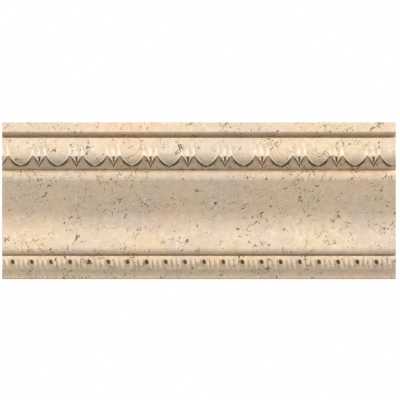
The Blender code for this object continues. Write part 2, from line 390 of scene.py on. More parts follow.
def hanging_edge(from_dart, sizes):
    """Drop and steepness of the scalloped lower edge, by the distance from the dart's middle."""
    half = sizes.egg_pitch / 2.0
    from_egg = half - from_dart
    sag = (EGG_BOTTOM_DROP - CUSP_DROP) / (half - DART_HALF_WIDTH) ** 2
    egg_drop = EGG_BOTTOM_DROP - sag * from_egg ** 2
    egg_slope = 2.0 * sag * np.abs(from_egg)
    fall = (DART_TIP_DROP - CUSP_DROP) / DART_HALF_WIDTH + DART_FLARE * DART_HALF_WIDTH
    dart_drop = DART_TIP_DROP - fall * from_dart + DART_FLARE * from_dart ** 2
    dart_slope = np.abs(fall - 2.0 * DART_FLARE * from_dart)
    in_dart = from_dart < DART_HALF_WIDTH
    return (
        smooth_max(egg_drop, dart_drop, CUSP_ROUNDING), np.where(in_dart, dart_slope, egg_slope)
    )


def face_lean(drop):
    """How far the top of the face stands back from its middle."""
    return FACE_LEAN * np.maximum(FACE_UPRIGHT_DROP - drop, 0.0)


def plain_face_out(drop):
    """The face of the ovolo, which leans out a little, with its top edge just rounded."""
    round_top = 0.7 * MM
    share = np.clip((QUIRK_DROP + round_top - drop) / round_top, 0.0, 1.0)
    return FACE_OUT - round_top * share * share - face_lean(drop)


def valley(aside, reach):
    """A rounded valley, 1 deep in the middle and level beyond its reach."""
    share = 1.0 - np.clip(np.abs(aside) / reach, 0.0, 1.0)
    return share * share * (1.6 - 0.6 * share)


def prong_line(drop):
    """Distance of a side flute from the dart's middle: it leans out toward the cusp."""
    leaning, over = 0.75 * MM, 6.5 * MM
    return DART_HALF_WIDTH - leaning * np.clip((CUSP_DROP - drop) / over, 0.0, 1.0)


def flutes(from_dart, drop, sizes):
    """Depth of the three flutes: they open below the plain face and run out at the cusps."""
    aside = from_dart - prong_line(drop)
    egg_side, dart_side = 2.9 * MM, 2.2 * MM
    sunk = ease(*FLUTES_OPEN, drop) * (1.0 - 0.75 * ease(*FLUTES_FADE, drop))
    side = valley(aside, np.where(aside > 0.0, egg_side, dart_side))
    middle = 1.0 - ease(0.7 * MM, 2.3 * MM, from_dart)
    middle = middle * (1.0 - ease(*MIDDLE_FLUTE_ENDS, drop))
    return -sizes.flute_depth * sunk * np.maximum(side, middle)


def egg_out(from_dart, drop, sizes):
    """The egg: flat above, gently crowned below, and turned under toward its foot."""
    last_turn = 0.97
    share = np.clip((drop - EGG_TURN_DROP) / EGG_TURN, 0.0, last_turn)
    half = sizes.egg_pitch / 2.0
    aside = (half - from_dart) / (half - DART_HALF_WIDTH)
    crown = EGG_CROWN * aside * aside * ease(*CROWN_SWELLS, drop)
    under = EGG_TURN * (1.0 - np.sqrt(1.0 - share * share))
    return FACE_OUT - face_lean(drop) - crown - under


def dart_out(from_dart, drop):
    """The dart: a turned-under leaf with a narrow slot below the middle flute."""
    soft = 0.5 * MM
    below = np.maximum(drop - CUSP_DROP - soft, 0.0)
    turned = DART_SLOPE * below * below / (below + soft)
    start, end = SLOT_TOP_DROP, SLOT_FOOT_DROP
    along = np.clip((drop - start) / (end - start), 0.0, 1.0)
    half = SLOT_HALF_WIDTH - 0.5 * MM * along
    opened = ease(start, start + soft, drop) * (1.0 - ease(end - 0.6 * MM, end, drop))
    slot = SLOT_DEPTH * opened * (1.0 - ease(half - 0.15 * MM, half + 0.2 * MM, from_dart))
    sunk = EGG_CROWN * ease(*CROWN_SWELLS, drop)
    return FACE_OUT - face_lean(drop) - sunk - turned - slot


def carved_out(from_dart, drop, sizes):
    """The carved face of the ovolo above its scalloped edge."""
    edge, slope = hanging_edge(from_dart, sizes)
    inside = (edge - drop) / np.sqrt(1.0 + slope * slope)
    on_egg = from_dart > np.where(drop < CUSP_DROP, prong_line(drop), DART_HALF_WIDTH)
    face = np.where(on_egg, egg_out(from_dart, drop, sizes), dart_out(from_dart, drop))
    rim = 1.0 - ease(0.6 * sizes.rim_width, sizes.rim_width, inside)
    rim = rim * ease(*RIM_RISES, drop)
    return face + sizes.rim_rise * rim + flutes(from_dart, drop, sizes)


def flute_highlight(from_dart, drop):
    """Painted highlight on the flutes: 1 along the middle of each flute's lower half."""
    aside = np.minimum(np.abs(from_dart - prong_line(drop)), from_dart)
    along = ease(*HIGHLIGHT_STARTS, drop) * (1.0 - ease(*HIGHLIGHT_ENDS, drop))
    return along * (1.0 - ease(0.5 * MM, 1.25 * MM, aside))


def spread(*runs):
    """Joins runs of evenly spaced values: each run is (start, end, steps)."""
    values = []
    for start, end, steps in runs:
        values += list(np.linspace(start, end, steps, endpoint=False))
    return np.array(values + [runs[-1][1]])


def near_foot(from_dart, half):
    """1 at the foot of the egg, 0 away from it."""
    return ease(half - 6.0 * MM, half - 1.0 * MM, from_dart)


def undercut_share(from_dart, half):
    """Depth of the groove under the edge: it runs out at the cusps and is less at the foot."""
    from_cusp = np.abs(from_dart - DART_HALF_WIDTH)
    share = 0.03 + 0.97 * ease(0.6 * MM, 3.2 * MM, from_cusp)
    share = share * (1.0 - 0.55 * ease(half - 3.5 * MM, half, from_dart))
    return share * (1.0 - 0.45 * (from_dart < DART_HALF_WIDTH))


def edge_highlight(from_dart, inside, right_of_egg, half):
    """Painted highlight along the edge below each cusp, most on the egg's right, toward the light,
    and at its foot.

    inside is the distance from the edge, measured square to it.
    """
    from_cusp = np.abs(from_dart - DART_HALF_WIDTH)
    near = 1.0 - ease(0.8 * MM, 2.0 * MM, inside)
    fork = 1.0 - ease(1.2 * MM, 4.0 * MM, from_cusp)
    on_egg = (from_dart > DART_HALF_WIDTH - 0.5 * MM) * np.maximum(right_of_egg, fork)
    beside = 0.75 * near * on_egg * (1.0 - ease(2.5 * MM, 8.0 * MM, from_cusp))
    on_dart = fork * (from_dart < DART_HALF_WIDTH) * (1.0 - ease(0.5 * MM, 1.4 * MM, inside))
    at_foot = near_foot(from_dart, half) * (1.0 - ease(0.3 * MM, 0.9 * MM, inside))
    return np.maximum(beside, np.maximum(on_dart, 1.2 * at_foot))


def egg_and_dart(sizes):
    """One repeat as a grid whose rows follow the scalloped edge, then copied along."""
    half = sizes.egg_pitch / 2.0
    egg_shoulder = 8.6 * MM
    near = spread(
        (0.0, DART_HALF_WIDTH, 22), (DART_HALF_WIDTH, egg_shoulder, 13), (egg_shoulder, half, 11)
    )
    across = np.concatenate([near, sizes.egg_pitch - near[-2::-1]])
    from_dart = np.minimum(across, sizes.egg_pitch - across)
    edge, slope = hanging_edge(from_dart, sizes)
    level = 1.0 / np.sqrt(1.0 + slope * slope)
    rim_top = edge - sizes.rim_width / level
    undercut = undercut_share(from_dart, half)
    groove_shade = undercut ** 0.7
    at_foot = near_foot(from_dart, half)
    at_cusp = 1.0 - ease(0.8 * MM, 3.4 * MM, np.abs(from_dart - DART_HALF_WIDTH))
    # Painted highlight is stronger on the egg's right, the side toward the light
    right_of_egg = np.where(across > half, 1.0, 0.3)
    outs, drops, tones = [], [], []

    def surface(drop):
        """Adds a row of the carved face."""
        drops.append(drop)
        share = ease(*CARVING_STARTS, drop)
        carved_face = carved_out(from_dart, drop, sizes)
        outs.append(plain_face_out(drop) * (1.0 - share) + carved_face * share)
        # Painted highlight on the flutes and along the edge
        edge_light = edge_highlight(from_dart, (edge - drop) * level, right_of_egg, half)
        tones.append(np.maximum(flute_highlight(from_dart, drop), edge_light))

    # The face, down to the flutes, to the rim, and over the rim as shares of its width
    flute_top = FLUTES_OPEN[0]
    for part in spread((0.0, 0.45, 4), (0.45, 1.0, 5)):
        surface(np.full_like(edge, QUIRK_DROP + (flute_top - QUIRK_DROP) * part))
    for part in spread((0.0, 0.7, 15), (0.7, 1.0, 10))[1:]:
        surface(flute_top + (rim_top - flute_top) * part)
    for part in (0.85, 0.7, 0.55, 0.4, 0.27, 0.16, 0.08):
        surface(edge - part * sizes.rim_width / level)
    # The rounded edge, tucked in by some tenths of a millimetre
    for part, tuck in ((0.02, 0.12), (0.0, 0.35)):
        surface(edge - part * sizes.rim_width / level)
        outs[-1] = outs[-1] - tuck * MM
    # The wall back to the ground, as shares of its depth, which leans in under the edge, in
    # painted shade
    lip = outs[-1]
    deep = ground_out(edge) - sizes.groove_depth * undercut
    for part, lean in ((0.3, 0.0), (0.65, 0.02), (1.0, 0.05)):
        drops.append(edge - lean * MM)
        outs.append(lip + (deep - lip) * part)
        tones.append(-part * groove_shade)
    # The groove, as millimetres below the edge and shares of its depth, in painted shade
    groove_foot = GROUND_FOOT_DROP - 0.9 * MM
    for step, depth in ((0.7, 1.0), (1.0, 0.65), (1.4, 0.2), (2.0, 0.0)):
        drops.append(np.minimum(edge + step * MM / level, groove_foot))
        outs.append(ground_out(drops[-1]) - sizes.groove_depth * undercut * depth)
        tones.append(-depth * groove_shade - 0.5 * at_foot * (1.0 - depth))
    # The bare ground and the notch at its foot, in painted shade darker downward, lighter near
    # cusps
    start, ground_steps = drops[-1], 6
    for part in np.linspace(0.0, 1.0, ground_steps + 1)[1:]:
        drops.append(start + (GROUND_FOOT_DROP - 0.1 * MM - start) * part)
        outs.append(ground_out(drops[-1]))
        foot_tone = -0.24 * part - 0.45 * at_foot * (1.0 - part)
        tones.append(foot_tone + 0.25 * at_cusp * (1.0 - part))
    drops.append(np.full_like(edge, GROUND_FOOT_DROP))
    outs.append(np.full_like(edge, GROUND_NOTCH_OUT))
    tones.append(np.full_like(edge, RECESS_SHADE))
    outs, drops, tones = np.array(outs), np.array(drops), np.array(tones)

    def rule(column, row):
        return LOW.x + across[column], outs[row, column], drops[row, column]

    def tone(column, row):
        return tones[row, column]

    band = lay_grid("egg_and_dart", len(across) - 1, len(outs) - 1, rule, tone)
    repeat_along(band, sizes.egg_pitch, math.ceil(LENGTH / sizes.egg_pitch))
    return band


def astragal_out(drop):
    """The front line of the astragal: it leans back a little and turns under into a slope."""
    round_top = 0.5 * MM
    share = np.clip((ASTRAGAL_DROP + round_top - drop) / round_top, 0.0, 1.0)
    reach, fall, turned = 3.44 * MM, 5.34 * MM, 0.73
    turn = np.clip((drop - ASTRAGAL_TURN_DROP) / fall, 0.0, turned)
    under = reach * (1.0 - np.sqrt(1.0 - turn * turn))
    past = np.maximum(drop - ASTRAGAL_TURN_DROP - turned * fall, 0.0)
    lean = ASTRAGAL_LEAN * (drop - ASTRAGAL_DROP)
    return ASTRAGAL_OUT - round_top * share * share - under - lean - ASTRAGAL_SLOPE * past


def cut_back(across, width, depth):
    """How far a rounded pad falls back from its crest, at a distance from its middle."""
    return depth * (1.0 - np.sqrt(np.maximum(1.0 - (across / width) ** 2, 0.0)))


def beads_out(across, drop, sizes):
    """The astragal with a bead and two reels left standing between cuts that run out."""
    cut = cut_back(across, BEAD_RADII[0], BEAD_ROUND)
    for offset in REEL_OFFSETS:
        for middle in (offset, offset - sizes.bead_pitch):
            cut = np.minimum(cut, cut_back(across - middle, REEL_WIDTH, REEL_ROUND))
    opened = ease(*CUTS_OPEN, drop) * (1.0 - ease(*CUTS_RUN_OUT, drop))
    return astragal_out(drop) - cut * opened


def side_drops():
    """Drops of the corners down the side of a cell, closest together beside the bead."""
    beside = 3.1 * MM
    return spread(
        (ASTRAGAL_DROP, BEAD_DROP - beside, 3),
        (BEAD_DROP - beside, BEAD_DROP + beside, 16),
        (BEAD_DROP + beside, ASTRAGAL_FOOT_DROP, 4),
    )


def bead_cell(sizes, half_width):
    """A bead with its drilled eye, as rings that open out into a square-cornered cell."""
    side = side_drops()
    top = spread((-half_width, half_width, 12))
    border = [(x, side[0]) for x in top]
    border += [(half_width, drop) for drop in side[1:]]
    border += [(x, side[-1]) for x in top[-2::-1]]
    border += [(-half_width, drop) for drop in side[-2::-1]]
    border = np.array(border)
    turn = np.arctan2(
        (border[:, 1] - BEAD_DROP) / (side[-1] - BEAD_DROP), border[:, 0] / half_width
    )
    wide, tall = sizes.eye_width / 2.0 * np.cos(turn), sizes.eye_height / 2.0 * np.sin(turn)
    eye_x = wide * math.cos(EYE_SLANT) - tall * math.sin(EYE_SLANT)
    eye_drop = wide * math.sin(EYE_SLANT) + tall * math.cos(EYE_SLANT)
    rings = []
    # The eye: shares of its size, and millimetres out from its floor
    for part, out in ((0.0, 0.0), (0.55, 0.1), (0.85, 0.4), (0.97, 1.2)):
        rings.append((
            EYE_ASIDE + eye_x * part, BEAD_DROP + eye_drop * part,
            np.full_like(turn, sizes.eye_floor_out + out * MM),
        ))
    # Its edge: shares of its size, and millimetres tucked in
    for part, tuck in ((1.0, 0.45), (1.1, 0.12), (1.25, 0.0)):
        x, drop = EYE_ASIDE + eye_x * part, BEAD_DROP + eye_drop * part
        rings.append((x, drop, beads_out(x, drop, sizes) - tuck * MM))
    # The bead from there to its rim, and the cell from the rim to its border
    start_x, start_drop = rings[-1][0], rings[-1][1]
    rim_x = BEAD_RADII[0] * np.cos(turn)
    rim_drop = BEAD_DROP + BEAD_RADII[1] * np.sin(turn)
    for part in (0.3, 0.55, 0.75, 0.88, 0.95, 1.0):
        x = start_x + (rim_x - start_x) * part
        drop = start_drop + (rim_drop - start_drop) * part
        rings.append((x, drop, beads_out(x, drop, sizes)))
    for part in (0.12, 0.4, 0.7, 1.0):
        x = rim_x + (border[:, 0] - rim_x) * part
        drop = rim_drop + (border[:, 1] - rim_drop) * part
        rings.append((x, drop, beads_out(x, drop, sizes)))
    table = np.array(rings)
    # Painted shade, ring by ring: all round in the eye, and on the bead's lower left, away from
    # the light
    drilled, side_shade = np.zeros(len(rings)), np.zeros(len(rings))
    drilled[:6] = (1.0, 1.0, 1.0, 0.85, 0.35, 0.1)
    side_shade[4:10] = (0.2, 0.5, 0.6, 0.5, 0.35, 0.15)
    lower_left = 0.5 + 0.5 * np.cos(turn - math.radians(145.0))

    def rule(column, row):
        return table[row, 0, column], table[row, 2, column], table[row, 1, column]

    def tone(column, row):
        return -drilled[row] - side_shade[row] * lower_left[column]

    return lay_grid("bead", len(border) - 1, len(rings) - 1, rule, tone)


def reel_cell(sizes, half_width):
    """The two reels that follow a bead."""
    side = side_drops()
    width = sizes.bead_pitch - 2.0 * half_width
    columns = 18

    def rule(column, row):
        x = half_width + width * column / columns
        return x, beads_out(x, side[row], sizes), side[row]

    return lay_grid("reels", columns, len(side) - 1, rule)


def beads_and_reels(sizes):
    """A bead cell and a reel cell welded into one unit, then copied along."""
    half_width = BEAD_RADII[0] + 0.15 * MM
    band = join([bead_cell(sizes, half_width), reel_cell(sizes, half_width)], "bead_and_reel")
    start = LOW.x + sizes.first_bead - sizes.bead_pitch
    bpy.ops.transform.translate(value=(start, 0.0, 0.0))
    bpy.ops.object.transform_apply(location=True, rotation=False, scale=False)
    repeat_along(band, sizes.bead_pitch, math.ceil(LENGTH / sizes.bead_pitch) + 2)
    return band


def crown_section():
    """Flat top, square fillet with both arrises just broken, and the quirk cut in under it."""
    soft, steady, lean = 0.35 * MM, 0.5 * MM, 0.45 * MM
    section = [(0.0, 0.0), (PROJECTION - soft - steady, 0.0), (PROJECTION - soft, 0.0)]
    section += arc(PROJECTION - soft, soft, soft, soft, start=-67.5, end=0.0, steps=3)
    section.append((PROJECTION, soft + steady))
    section.append((PROJECTION - lean, FILLET_DROP - soft - steady))
    section += arc(
        PROJECTION - lean - soft, FILLET_DROP - soft, soft, soft, start=0.0, end=60.0, steps=3
    )
    return section + RECESS_CORNERS


def cyma_section():
    """The rolled fillet, the steady slope, the hollow, the upright face and its turned nose."""
    rise, reach, fall, last_turn = 3.1 * MM, 6.6 * MM, 7.5 * MM, 41.4
    section = [(GROUND_NOTCH_OUT + 0.1 * MM, ROLL_TOP_DROP)]
    section += arc(
        GROUND_FOOT_OUT, ROLL_DROP, ROLL_OUT - GROUND_FOOT_OUT, rise, start=-84.0, end=0.0, steps=9
    )
    section += arc(ROLL_OUT - reach, ROLL_DROP, reach, fall, start=6.0, end=last_turn, steps=8)
    slope_out, slope_drop = section[-1]
    for part in np.linspace(0.0, 1.0, 7)[1:]:
        drop = slope_drop + (CYMA_HOLLOW_DROP - slope_drop) * part
        section.append((slope_out - CYMA_SLOPE * (drop - slope_drop), drop))
    hollow_out = section[-1][0]
    lean = math.atan(CYMA_SLOPE)
    radius = (CYMA_FACE_DROP - CYMA_HOLLOW_DROP) / math.sin(lean)
    face_out = hollow_out - radius * (1.0 - math.cos(lean))
    for turn in np.linspace(lean, 0.0, 15)[1:]:
        section.append((
            face_out + radius * (1.0 - math.cos(turn)), CYMA_FACE_DROP - radius * math.sin(turn),
        ))
    section += arc(
        face_out - CYMA_NOSE_REACH, CYMA_TURN_DROP, CYMA_NOSE_REACH,
        CYMA_FOOT_DROP - CYMA_TURN_DROP, start=0.0, end=90.0, steps=13,
    )
    section.append((CYMA_QUIRK_OUT, CYMA_FOOT_DROP + 0.15 * MM))
    section.append((CYMA_QUIRK_OUT, CYMA_FOOT_DROP + 0.75 * MM))
    return section


def foot_section():
    """The hollowed chamfer of the foot, its lower arris and the narrow bottom."""
    soft, hollow = 1.5 * MM, 0.25
    top_drop, foot_drop = ASTRAGAL_FOOT_DROP + 0.15 * MM, HEIGHT - soft
    section = []
    for part in np.linspace(0.0, 1.0, 9)[:-1]:
        along = (1.0 + hollow) * part - hollow * part * part
        out = FOOT_TOP_OUT + (FOOT_OUT - FOOT_TOP_OUT) * along
        section.append((out, top_drop + (foot_drop - top_drop) * part))
    section += arc(FOOT_OUT - soft, foot_drop, soft, soft, start=0.0, end=90.0, steps=4)
    return section + [(0.0, HEIGHT)]


def select_lines(thing, lines):
    """Selects the open edges that run along the given (out, drop) lines."""
    shape = bmesh.from_edit_mesh(thing.data)
    for edge in shape.edges:
        edge.select_set(False)
    for out, drop in lines:
        found = [
            edge for edge in shape.edges if edge.is_boundary and all(
                abs(HIGH.y - corner.co.y - out) + abs(HIGH.z - corner.co.z - drop) < WELD
                for corner in edge.verts
            )
        ]
        if not found:
            raise RuntimeError("no open edges %.2f mm out, %.2f mm down" % (out / MM, drop / MM))
        for edge in found:
            edge.select_set(True)
    bmesh.update_edit_mesh(thing.data)


def close_block(thing, gaps):
    """Bridges the narrow gaps between the bands, then fills both square-cut ends."""
    bpy.ops.object.mode_set(mode="EDIT")
    bpy.ops.mesh.select_mode(type="EDGE")
    for gap in gaps:
        select_lines(thing, gap)
        bpy.ops.mesh.bridge_edge_loops()
    for end in (LOW.x, HIGH.x):
        shape = bmesh.from_edit_mesh(thing.data)
        for edge in shape.edges:
            at_end = all(abs(corner.co.x - end) < WELD for corner in edge.verts)
            edge.select_set(edge.is_boundary and at_end)
        bmesh.update_edit_mesh(thing.data)
        bpy.ops.mesh.edge_face_add()
    bpy.ops.mesh.select_all(action="SELECT")
    bpy.ops.mesh.normals_make_consistent(inside=False)
    bpy.ops.object.mode_set(mode="OBJECT")


def add_node(tree, kind, place, **settings):
    """A shader node at its place, with its settings."""
    node = tree.nodes.new(kind)
    node.location = place
    for name, value in settings.items():
        setattr(node, name, value)
    return node


def math_node(tree, operation, place, first, second=None, third=None):
    """A Math node; each input is a socket or a number."""
    node = add_node(tree, "ShaderNodeMath", place, operation=operation)
    for index, value in enumerate((first, second, third)):
        if isinstance(value, bpy.types.NodeSocket):
            tree.links.new(value, node.inputs[index])
        elif value is not None:
            node.inputs[index].default_value = value
    return node.outputs["Value"]


def step_node(tree, place, value, low, high, rising=True):
    """A smooth step of a value from 0 to 1, or from 1 to 0."""
    node = add_node(tree, "ShaderNodeMapRange", place, interpolation_type="SMOOTHSTEP")
    for name, item in (("Value", value), ("From Min", low), ("From Max", high)):
        if isinstance(item, bpy.types.NodeSocket):
            tree.links.new(item, node.inputs[name])
        else:
            node.inputs[name].default_value = item
    node.inputs["To Min"].default_value = 0.0 if rising else 1.0
    node.inputs["To Max"].default_value = 1.0 if rising else 0.0
    return node.outputs["Result"]


def mask_group(name, **inputs):
    """An empty node group that turns a vector into a mask by named numbers."""
    group = bpy.data.node_groups.new(name, "ShaderNodeTree")
    group.interface.new_socket(name="Vector", in_out="INPUT", socket_type="NodeSocketVector")
    for label, value in inputs.items():
        socket = group.interface.new_socket(
            name=label, in_out="INPUT", socket_type="NodeSocketFloat"
        )
        socket.default_value = value
    group.interface.new_socket(name="Mask", in_out="OUTPUT", socket_type="NodeSocketFloat")
    start = add_node(group, "NodeGroupInput", (-1200, 0))
    end = add_node(group, "NodeGroupOutput", (900, 0))
    return group, start, end


def noise_node(tree, place, vector, scale, detail, roughness=0.5):
    """A Noise node; its scale is a socket or a number."""
    node = add_node(tree, "ShaderNodeTexNoise", place, noise_dimensions="3D")
    tree.links.new(vector, node.inputs["Vector"])
    if isinstance(scale, bpy.types.NodeSocket):
        tree.links.new(scale, node.inputs["Scale"])
    else:
        node.inputs["Scale"].default_value = scale
    node.inputs["Detail"].default_value = detail
    node.inputs["Roughness"].default_value = roughness
    return node


def moved_vector(group, start):
    """The group's vector, moved by its Shift so that each use looks different."""
    moved = add_node(group, "ShaderNodeVectorMath", (-1000, 100), operation="ADD")
    group.links.new(start.outputs["Vector"], moved.inputs[0])
    group.links.new(start.outputs["Shift"], moved.inputs[1])
    return moved.outputs[0]


def cloud_group():
    """Soft clouds: a mask that drifts from 0 to 1 over a given size."""
    group, start, end = mask_group("Soft clouds", Size=0.02, Low=0.4, High=0.6, Shift=0.0)
    scale = math_node(group, "DIVIDE", (-900, -200), 1.0, start.outputs["Size"])
    moved = moved_vector(group, start)
    noise = noise_node(group, (-600, 0), moved, scale, detail=3.0, roughness=0.45)
    mask = step_node(
        group, (-200, 0), noise.outputs["Fac"], start.outputs["Low"], start.outputs["High"]
    )
    group.links.new(mask, end.inputs["Mask"])
    return group


def crowd_mask(group, start, vector, place):
    """Where marks crowd together: 1 in the middle of a crowd and 0 between crowds."""
    x, y = place
    scale = math_node(group, "DIVIDE", (x, y), 1.0, start.outputs["Cluster"])
    noise = noise_node(group, (x + 200, y), vector, scale, detail=2.0, roughness=0.6)
    return step_node(group, (x + 400, y), noise.outputs["Fac"], low=0.49, high=0.66)


def drawn_vector(group, start, vector):
    """Leans the vector by Slant about the front and draws it out by Stretch."""
    slant = add_node(group, "ShaderNodeVectorRotate", (-800, 200), rotation_type="Y_AXIS")
    group.links.new(vector, slant.inputs["Vector"])
    group.links.new(start.outputs["Slant"], slant.inputs["Angle"])
    shape = add_node(group, "ShaderNodeCombineXYZ", (-800, 0))
    shape.inputs["X"].default_value = 1.0
    shape.inputs["Y"].default_value = 1.0
    group.links.new(start.outputs["Stretch"], shape.inputs["Z"])
    drawn = add_node(group, "ShaderNodeVectorMath", (-600, 200), operation="DIVIDE")
    group.links.new(slant.outputs[0], drawn.inputs[0])
    group.links.new(shape.outputs[0], drawn.inputs[1])
    return drawn.outputs[0]


def pore_group():
    """Open pores: ragged pits in crowds, drawn out along a slant."""
    group, start, end = mask_group(
        "Stone pores", Size=0.001, Stretch=2.0, Slant=0.0, Cluster=0.015, Rarity=0.74,
        Crowding=0.10, Shift=0.0,
    )
    moved = moved_vector(group, start)
    drawn = drawn_vector(group, start, moved)
    scale = math_node(group, "DIVIDE", (-600, 0), 1.0, start.outputs["Size"])
    noise = noise_node(group, (-200, 200), drawn, scale, detail=1.5)
    crowd = crowd_mask(group, start, moved, (-600, -300))
    lowered = math_node(group, "MULTIPLY", (100, -200), crowd, start.outputs["Crowding"])
    low = math_node(group, "SUBTRACT", (250, -200), start.outputs["Rarity"], lowered)
    high = math_node(group, "ADD", (400, -300), low, 0.05)
    mask = step_node(group, (600, 0), noise.outputs["Fac"], low, high)
    group.links.new(mask, end.inputs["Mask"])
    return group


def crack_group():
    """Short curved cracks: pieces of thin lines, in crowds and leaning along a slant."""
    group, start, end = mask_group(
        "Stone cracks", Size=0.002, Stretch=1.5, Slant=0.0, Width=0.1, Cluster=0.015, Gate=0.7,
        Crowding=0.15, Shift=0.0,
    )
    moved = moved_vector(group, start)
    drawn = drawn_vector(group, start, moved)
    scale = math_node(group, "DIVIDE", (-800, -100), 1.0, start.outputs["Size"])
    lines = noise_node(group, (-400, 100), drawn, scale, detail=1.0)
    offset = math_node(group, "SUBTRACT", (-200, 100), lines.outputs["Fac"], 0.5)
    away = math_node(group, "ABSOLUTE", (0, 100), offset)
    line = step_node(group, (200, 100), away, 0.0, start.outputs["Width"], rising=False)
    finer = math_node(group, "MULTIPLY", (-600, -100), scale, 0.9)
    aside = add_node(group, "ShaderNodeVectorMath", (-600, -200), operation="ADD")
    group.links.new(drawn, aside.inputs[0])
    aside.inputs[1].default_value = (0.37, 0.11, 0.23)
    pieces = noise_node(group, (-400, -100), aside.outputs[0], finer, detail=1.0)
    crowd = crowd_mask(group, start, moved, (-600, -500))
    lowered = math_node(group, "MULTIPLY", (0, -300), crowd, start.outputs["Crowding"])
    low = math_node(group, "SUBTRACT", (150, -300), start.outputs["Gate"], lowered)
    high = math_node(group, "ADD", (300, -400), low, 0.06)
    gate = step_node(group, (450, -200), pieces.outputs["Fac"], low, high)
    mask = math_node(group, "MULTIPLY", (650, 0), line, gate)
    group.links.new(mask, end.inputs["Mask"])
    return group


def vein_group():
    """Hairline veins: thin curved lines that fade in and out."""
    group, start, end = mask_group(
        "Hairline veins", Size=0.03, Width=0.006, Bareness=0.5, Shift=0.0
    )
    moved = moved_vector(group, start)
    scale = math_node(group, "DIVIDE", (-900, -200), 1.0, start.outputs["Size"])
    lines = noise_node(group, (-600, 0), moved, scale, detail=4.0, roughness=0.55)
    offset = math_node(group, "SUBTRACT", (-400, 0), lines.outputs["Fac"], 0.5)
    away = math_node(group, "ABSOLUTE", (-200, 0), offset)
    line = step_node(group, (0, 0), away, 0.0, start.outputs["Width"], rising=False)
    broad = math_node(group, "MULTIPLY", (-600, -300), scale, 1.3)
    where = noise_node(group, (-400, -300), start.outputs["Vector"], broad, detail=2.0)
    top = math_node(group, "ADD", (-200, -400), start.outputs["Bareness"], 0.08)
    kept = step_node(group, (0, -300), where.outputs["Fac"], start.outputs["Bareness"], top)
    mask = math_node(group, "MULTIPLY", (300, 0), line, kept)
    group.links.new(mask, end.inputs["Mask"])
    return group


def place_group(tree, group, place, vector, **values):
    """A node group at its place with its own values; returns its mask."""
    node = add_node(tree, "ShaderNodeGroup", place, node_tree=group)
    tree.links.new(vector, node.inputs["Vector"])
    for name, value in values.items():
        node.inputs[name].default_value = value
    return node.outputs["Mask"]


def mix_colour(tree, place, mask, below, above):
    """Lays one colour over another by a mask."""
    node = add_node(tree, "ShaderNodeMix", place, data_type="RGBA", clamp_factor=True)
    tree.links.new(mask, node.inputs["Factor"])
    # Inputs 6 and 7 are the node's two colours, and output 2 is the mixed one.
    for index, value in ((6, below), (7, above)):
        if isinstance(value, bpy.types.NodeSocket):
            tree.links.new(value, node.inputs[index])
        else:
            node.inputs[index].default_value = (*value, 1.0)
    return node.outputs[2]


def clouded_stone(tree, where, clouds, veins, colours):
    """Cream stone with peach, straw and misty clouds, and pale healed veins."""
    colour = colours.cream
    for index, (tint, size, low, high, shift) in enumerate((
        (colours.peach, 0.055, 0.42, 0.66, 0.31),
        (colours.straw, 0.040, 0.44, 0.68, 1.73),
        (colours.mist, 0.045, 0.46, 0.68, 2.57),
    )):
        mask = place_group(
            tree, clouds, (-1200, 900 - 200 * index), where,
            Size=size, Low=low, High=high, Shift=shift,
        )
        colour = mix_colour(tree, (200 * index - 900, 700 - 100 * index), mask, colour, tint)
    pale_lines = place_group(
        tree, veins, (-1200, 100), where, Size=0.020, Width=0.014, Bareness=0.46, Shift=3.3
    )
    pale_share = math_node(tree, "MULTIPLY", (-900, 200), pale_lines, PALE_SHARE)
    return mix_colour(tree, (-400, 500), pale_share, colour, colours.pale)


def painted_highlight_and_shade(tree, where, colour, colours):
    """Painted highlight and painted shade from the attribute, and neither on the cut ends.

    The ends share their corners with the carving, so its tones would run over them.
    """
    painted_light = add_node(
        tree, "ShaderNodeAttribute", (-900, 1200), attribute_type="GEOMETRY", attribute_name=PAINTED_LIGHT
    ).outputs["Fac"]
    position = add_node(tree, "ShaderNodeSeparateXYZ", (-1400, 1400))
    tree.links.new(where, position.inputs[0])
    from_middle = math_node(tree, "ABSOLUTE", (-1200, 1400), position.outputs["X"])
    off_the_end = math_node(
        tree, "LESS_THAN", (-1000, 1400), from_middle, LENGTH / 2.0 - 0.05 * MM
    )
    painted_light = math_node(tree, "MULTIPLY", (-750, 1300), painted_light, off_the_end)
    highlight_share = math_node(tree, "MULTIPLY", (-600, 1200), painted_light, HIGHLIGHT_SHARE)
    colour = mix_colour(tree, (-350, 600), highlight_share, colour, colours.painted_highlight)
    # Painted shade where the attribute is below 0
    depth = math_node(tree, "MULTIPLY", (-600, 1000), painted_light, -SHADE_SHARE)
    return mix_colour(tree, (-320, 700), depth, colour, colours.painted_shade)


def open_marks(tree, where):
    """Slanting pores, level pores, fine specks and curled cracks: 1 inside a mark."""
    pores, cracks = pore_group(), crack_group()
    slanting = place_group(
        tree, pores, (-1200, -300), where, Size=0.0012, Stretch=2.4, Slant=math.radians(-28.0),
        Cluster=0.014, Rarity=0.735, Crowding=0.12, Shift=0.05,
    )
    level = place_group(
        tree, pores, (-1200, -600), where, Size=0.0018, Stretch=0.4, Slant=math.radians(-14.0),
        Cluster=0.012, Rarity=0.755, Crowding=0.12, Shift=0.63,
    )
    specks = place_group(
        tree, pores, (-1200, -900), where, Size=0.0009, Stretch=1.0, Slant=0.0,
        Cluster=0.016, Rarity=0.755, Crowding=0.14, Shift=1.21,
    )
    curls = place_group(
        tree, cracks, (-1200, -1200), where, Size=0.0036, Stretch=1.6, Width=0.050,
        Slant=math.radians(-25.0), Cluster=0.017, Gate=0.69, Crowding=0.20, Shift=2.2,
    )
    pits = math_node(tree, "MAXIMUM", (-800, -500), slanting, level)
    pits = math_node(tree, "MAXIMUM", (-700, -600), pits, specks)
    curl_share = math_node(tree, "MULTIPLY", (-700, -1000), curls, CURL_SHARE)
    return math_node(tree, "MAXIMUM", (-600, -400), pits, curl_share)


